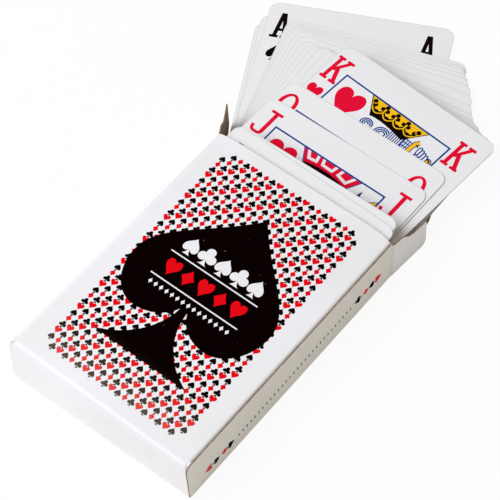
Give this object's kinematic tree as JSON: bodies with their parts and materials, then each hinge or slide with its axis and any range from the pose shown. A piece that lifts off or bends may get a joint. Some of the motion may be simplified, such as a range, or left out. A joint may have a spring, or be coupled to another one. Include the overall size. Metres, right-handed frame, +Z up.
{
  "type": "playing card deck",
  "caption": "Deck of playing cards sliding and fanning out of an open tuck box that lies on its back, with folding lid, tongue and dust flaps.",
  "frame": {"origin": "middle of the back panel's outer face, on which the box lies", "axes": "+Y out of the open mouth, +X towards the glued side, +Z up from the table"},
  "size_m": [0.0977, 0.1855, 0.018],
  "materials": {
    "carton_board": "coated and printed",
    "card_stock": "coated and printed"
  },
  "bodies": {
    "carton": {"carton_sleeve": "carton_board", "glue_flap": "carton_board", "bottom_end": "carton_board"},
    "lid": {"lid_panel": "carton_board"},
    "tongue": {"tuck_tongue": "carton_board"},
    "left_flap": {"left_dust_flap": "carton_board"},
    "right_flap": {"right_dust_flap": "carton_board"},
    "jack_of_hearts": {"jack_of_hearts": "card_stock"},
    "queen_of_hearts": {"queen_of_hearts": "card_stock"},
    "king_of_hearts": {"king_of_hearts": "card_stock"},
    "ace_of_spades": {"ace_of_spades": "card_stock"},
    "ace_of_hearts": {"ace_of_hearts": "card_stock"},
    "ace_of_diamonds": {"ace_of_diamonds": "card_stock"},
    "two_of_spades": {"two_of_spades": "card_stock"},
    "three_of_spades": {"three_of_spades": "card_stock"},
    "four_of_spades": {"four_of_spades": "card_stock"},
    "five_of_spades": {"five_of_spades": "card_stock"},
    "six_of_spades": {"six_of_spades": "card_stock"},
    "seven_of_spades": {"seven_of_spades": "card_stock"},
    "eight_of_spades": {"eight_of_spades": "card_stock"},
    "nine_of_spades": {"nine_of_spades": "card_stock"},
    "ten_of_spades": {"ten_of_spades": "card_stock"},
    "jack_of_spades": {"jack_of_spades": "card_stock"},
    "queen_of_spades": {"queen_of_spades": "card_stock"},
    "king_of_spades": {"king_of_spades": "card_stock"},
    "ace_of_clubs": {"ace_of_clubs": "card_stock"},
    "two_of_clubs": {"two_of_clubs": "card_stock"},
    "three_of_clubs": {"three_of_clubs": "card_stock"},
    "four_of_clubs": {"four_of_clubs": "card_stock"},
    "five_of_clubs": {"five_of_clubs": "card_stock"},
    "six_of_clubs": {"six_of_clubs": "card_stock"},
    "seven_of_clubs": {"seven_of_clubs": "card_stock"},
    "eight_of_clubs": {"eight_of_clubs": "card_stock"},
    "nine_of_clubs": {"nine_of_clubs": "card_stock"},
    "ten_of_clubs": {"ten_of_clubs": "card_stock"},
    "jack_of_clubs": {"jack_of_clubs": "card_stock"},
    "queen_of_clubs": {"queen_of_clubs": "card_stock"},
    "king_of_clubs": {"king_of_clubs": "card_stock"},
    "queen_of_diamonds": {"queen_of_diamonds": "card_stock"},
    "king_of_diamonds": {"king_of_diamonds": "card_stock"},
    "jokers": {"jokers": "card_stock"},
    "ten_of_hearts": {"ten_of_hearts": "card_stock"},
    "nine_of_hearts": {"nine_of_hearts": "card_stock"},
    "eight_of_hearts": {"eight_of_hearts": "card_stock"},
    "seven_of_hearts": {"seven_of_hearts": "card_stock"},
    "six_of_hearts": {"six_of_hearts": "card_stock"},
    "five_of_hearts": {"five_of_hearts": "card_stock"},
    "four_of_hearts": {"four_of_hearts": "card_stock"},
    "three_of_hearts": {"three_of_hearts": "card_stock"},
    "two_of_hearts": {"two_of_hearts": "card_stock"},
    "two_of_diamonds": {"two_of_diamonds": "card_stock"},
    "three_of_diamonds": {"three_of_diamonds": "card_stock"},
    "four_of_diamonds": {"four_of_diamonds": "card_stock"},
    "five_of_diamonds": {"five_of_diamonds": "card_stock"},
    "six_of_diamonds": {"six_of_diamonds": "card_stock"},
    "seven_of_diamonds": {"seven_of_diamonds": "card_stock"},
    "eight_of_diamonds": {"eight_of_diamonds": "card_stock"},
    "nine_of_diamonds": {"nine_of_diamonds": "card_stock"},
    "ten_of_diamonds": {"ten_of_diamonds": "card_stock"},
    "jack_of_diamonds": {"jack_of_diamonds": "card_stock"}
  },
  "joints": [
    {"name": "box_lid_fold", "type": "hinge", "parent": "carton", "child": "lid", "pos_m": [0, 0.04845, 0.0002], "axis": [-1, 0, 0], "range_deg": [0, 90]},
    {"name": "box_tongue_fold", "type": "hinge", "parent": "lid", "child": "tongue", "pos_m": [0, 0.0663, 0.0002], "axis": [-1, 0, 0], "range_deg": [0, 90]},
    {"name": "box_left_flap_fold", "type": "hinge", "parent": "carton", "child": "left_flap", "pos_m": [-0.0341, 0.04845, 0.008], "axis": [0, 0, 1], "range_deg": [0, 60]},
    {"name": "box_right_flap_fold", "type": "hinge", "parent": "carton", "child": "right_flap", "pos_m": [0.0341, 0.04845, 0.008], "axis": [0, 0, -1], "range_deg": [0, 87]},
    {"name": "card_jack_of_hearts", "type": "slide", "parent": "carton", "child": "jack_of_hearts", "axis": [0, 1, 0], "range_m": [-0.03, 0.0638]},
    {"name": "card_queen_of_hearts", "type": "slide", "parent": "carton", "child": "queen_of_hearts", "axis": [0.0087, 1, 0], "range_m": [-0.03, 0.0547]},
    {"name": "card_king_of_hearts", "type": "slide", "parent": "carton", "child": "king_of_hearts", "axis": [0.068, 0.9977, 0], "range_m": [0, 0.03583]},
    {"name": "card_ace_of_spades", "type": "slide", "parent": "carton", "child": "ace_of_spades", "axis": [-0.4305, 0.9026, 0], "range_m": [0, 0.02019]},
    {"name": "card_ace_of_hearts", "type": "slide", "parent": "carton", "child": "ace_of_hearts", "axis": [-0.0105, 0.9999, 0], "range_m": [-0.014, 0.0816]},
    {"name": "card_ace_of_diamonds", "type": "slide", "parent": "carton", "child": "ace_of_diamonds", "axis": [0.0314, 0.9995, 0], "range_m": [-0.006, 0.0835]},
    {"name": "card_two_of_spades", "type": "slide", "parent": "carton", "child": "two_of_spades", "axis": [-0.4772, 0.8788, 0], "range_m": [0, 0.02946]},
    {"name": "card_three_of_spades", "type": "slide", "parent": "carton", "child": "three_of_spades", "axis": [-0.4695, 0.8829, 0], "range_m": [0, 0.02612]},
    {"name": "card_four_of_spades", "type": "slide", "parent": "carton", "child": "four_of_spades", "axis": [-0.3223, 0.9466, 0], "range_m": [0, 0.02624]},
    {"name": "card_five_of_spades", "type": "slide", "parent": "carton", "child": "five_of_spades", "axis": [-0.3206, 0.9472, 0], "range_m": [0, 0.02765]},
    {"name": "card_six_of_spades", "type": "slide", "parent": "carton", "child": "six_of_spades", "axis": [-0.3123, 0.95, 0], "range_m": [0, 0.02835]},
    {"name": "card_seven_of_spades", "type": "slide", "parent": "carton", "child": "seven_of_spades", "axis": [-0.2924, 0.9563, 0], "range_m": [0, 0.02913]},
    {"name": "card_eight_of_spades", "type": "slide", "parent": "carton", "child": "eight_of_spades", "axis": [-0.2756, 0.9613, 0], "range_m": [0, 0.02985]},
    {"name": "card_nine_of_spades", "type": "slide", "parent": "carton", "child": "nine_of_spades", "axis": [-0.2453, 0.9694, 0], "range_m": [0, 0.03067]},
    {"name": "card_ten_of_spades", "type": "slide", "parent": "carton", "child": "ten_of_spades", "axis": [-0.213, 0.977, 0], "range_m": [0, 0.03212]},
    {"name": "card_jack_of_spades", "type": "slide", "parent": "carton", "child": "jack_of_spades", "axis": [-0.1788, 0.9839, 0], "range_m": [0, 0.03409]},
    {"name": "card_queen_of_spades", "type": "slide", "parent": "carton", "child": "queen_of_spades", "axis": [-0.1409, 0.99, 0], "range_m": [0, 0.03492]},
    {"name": "card_king_of_spades", "type": "slide", "parent": "carton", "child": "king_of_spades", "axis": [-0.1028, 0.9947, 0], "range_m": [0, 0.03484]},
    {"name": "card_ace_of_clubs", "type": "slide", "parent": "carton", "child": "ace_of_clubs", "axis": [-0.0732, 0.9973, 0], "range_m": [0, 0.03434]},
    {"name": "card_two_of_clubs", "type": "slide", "parent": "carton", "child": "two_of_clubs", "axis": [-0.0419, 0.9991, 0], "range_m": [0, 0.03425]},
    {"name": "card_three_of_clubs", "type": "slide", "parent": "carton", "child": "three_of_clubs", "axis": [-0.0157, 0.9999, 0], "range_m": [0, 0.03337]},
    {"name": "card_four_of_clubs", "type": "slide", "parent": "carton", "child": "four_of_clubs", "axis": [0, 1, 0], "range_m": [-0.002, 0.093]},
    {"name": "card_five_of_clubs", "type": "slide", "parent": "carton", "child": "five_of_clubs", "axis": [0, 1, 0], "range_m": [-0.002, 0.093]},
    {"name": "card_six_of_clubs", "type": "slide", "parent": "carton", "child": "six_of_clubs", "axis": [0, 1, 0], "range_m": [-0.002, 0.093]},
    {"name": "card_seven_of_clubs", "type": "slide", "parent": "carton", "child": "seven_of_clubs", "axis": [0, 1, 0], "range_m": [-0.002, 0.093]},
    {"name": "card_eight_of_clubs", "type": "slide", "parent": "carton", "child": "eight_of_clubs", "axis": [0, 1, 0], "range_m": [-0.002, 0.093]},
    {"name": "card_nine_of_clubs", "type": "slide", "parent": "carton", "child": "nine_of_clubs", "axis": [0, 1, 0], "range_m": [-0.002, 0.093]},
    {"name": "card_ten_of_clubs", "type": "slide", "parent": "carton", "child": "ten_of_clubs", "axis": [0, 1, 0], "range_m": [-0.002, 0.093]},
    {"name": "card_jack_of_clubs", "type": "slide", "parent": "carton", "child": "jack_of_clubs", "axis": [0, 1, 0], "range_m": [-0.002, 0.093]},
    {"name": "card_queen_of_clubs", "type": "slide", "parent": "carton", "child": "queen_of_clubs", "axis": [0, 1, 0], "range_m": [-0.002, 0.093]},
    {"name": "card_king_of_clubs", "type": "slide", "parent": "carton", "child": "king_of_clubs", "axis": [0, 1, 0], "range_m": [-0.002, 0.093]},
    {"name": "card_queen_of_diamonds", "type": "slide", "parent": "carton", "child": "queen_of_diamonds", "axis": [0, 1, 0], "range_m": [-0.002, 0.093]},
    {"name": "card_king_of_diamonds", "type": "slide", "parent": "carton", "child": "king_of_diamonds", "axis": [0, 1, 0], "range_m": [-0.002, 0.093]},
    {"name": "card_jokers", "type": "slide", "parent": "carton", "child": "jokers", "axis": [0, 1, 0], "range_m": [-0.002, 0.093]},
    {"name": "card_ten_of_hearts", "type": "slide", "parent": "carton", "child": "ten_of_hearts", "axis": [0, 1, 0], "range_m": [-0.002, 0.093]},
    {"name": "card_nine_of_hearts", "type": "slide", "parent": "carton", "child": "nine_of_hearts", "axis": [0, 1, 0], "range_m": [-0.002, 0.093]},
    {"name": "card_eight_of_hearts", "type": "slide", "parent": "carton", "child": "eight_of_hearts", "axis": [0, 1, 0], "range_m": [-0.002, 0.093]},
    {"name": "card_seven_of_hearts", "type": "slide", "parent": "carton", "child": "seven_of_hearts", "axis": [0, 1, 0], "range_m": [-0.002, 0.093]},
    {"name": "card_six_of_hearts", "type": "slide", "parent": "carton", "child": "six_of_hearts", "axis": [0, 1, 0], "range_m": [-0.002, 0.093]},
    {"name": "card_five_of_hearts", "type": "slide", "parent": "carton", "child": "five_of_hearts", "axis": [0, 1, 0], "range_m": [-0.002, 0.093]},
    {"name": "card_four_of_hearts", "type": "slide", "parent": "carton", "child": "four_of_hearts", "axis": [0, 1, 0], "range_m": [-0.002, 0.093]},
    {"name": "card_three_of_hearts", "type": "slide", "parent": "carton", "child": "three_of_hearts", "axis": [0, 1, 0], "range_m": [-0.002, 0.093]},
    {"name": "card_two_of_hearts", "type": "slide", "parent": "carton", "child": "two_of_hearts", "axis": [0, 1, 0], "range_m": [-0.002, 0.093]},
    {"name": "card_two_of_diamonds", "type": "slide", "parent": "carton", "child": "two_of_diamonds", "axis": [0, 1, 0], "range_m": [-0.002, 0.093]},
    {"name": "card_three_of_diamonds", "type": "slide", "parent": "carton", "child": "three_of_diamonds", "axis": [0, 1, 0], "range_m": [-0.002, 0.093]},
    {"name": "card_four_of_diamonds", "type": "slide", "parent": "carton", "child": "four_of_diamonds", "axis": [0, 1, 0], "range_m": [-0.002, 0.093]},
    {"name": "card_five_of_diamonds", "type": "slide", "parent": "carton", "child": "five_of_diamonds", "axis": [0, 1, 0], "range_m": [-0.002, 0.093]},
    {"name": "card_six_of_diamonds", "type": "slide", "parent": "carton", "child": "six_of_diamonds", "axis": [0, 1, 0], "range_m": [-0.002, 0.093]},
    {"name": "card_seven_of_diamonds", "type": "slide", "parent": "carton", "child": "seven_of_diamonds", "axis": [0, 1, 0], "range_m": [-0.002, 0.093]},
    {"name": "card_eight_of_diamonds", "type": "slide", "parent": "carton", "child": "eight_of_diamonds", "axis": [0, 1, 0], "range_m": [-0.002, 0.093]},
    {"name": "card_nine_of_diamonds", "type": "slide", "parent": "carton", "child": "nine_of_diamonds", "axis": [0, 1, 0], "range_m": [-0.002, 0.093]},
    {"name": "card_ten_of_diamonds", "type": "slide", "parent": "carton", "child": "ten_of_diamonds", "axis": [0, 1, 0], "range_m": [-0.002, 0.093]},
    {"name": "card_jack_of_diamonds", "type": "slide", "parent": "carton", "child": "jack_of_diamonds", "axis": [0, 1, 0], "range_m": [-0.002, 0.093]}
  ]
}
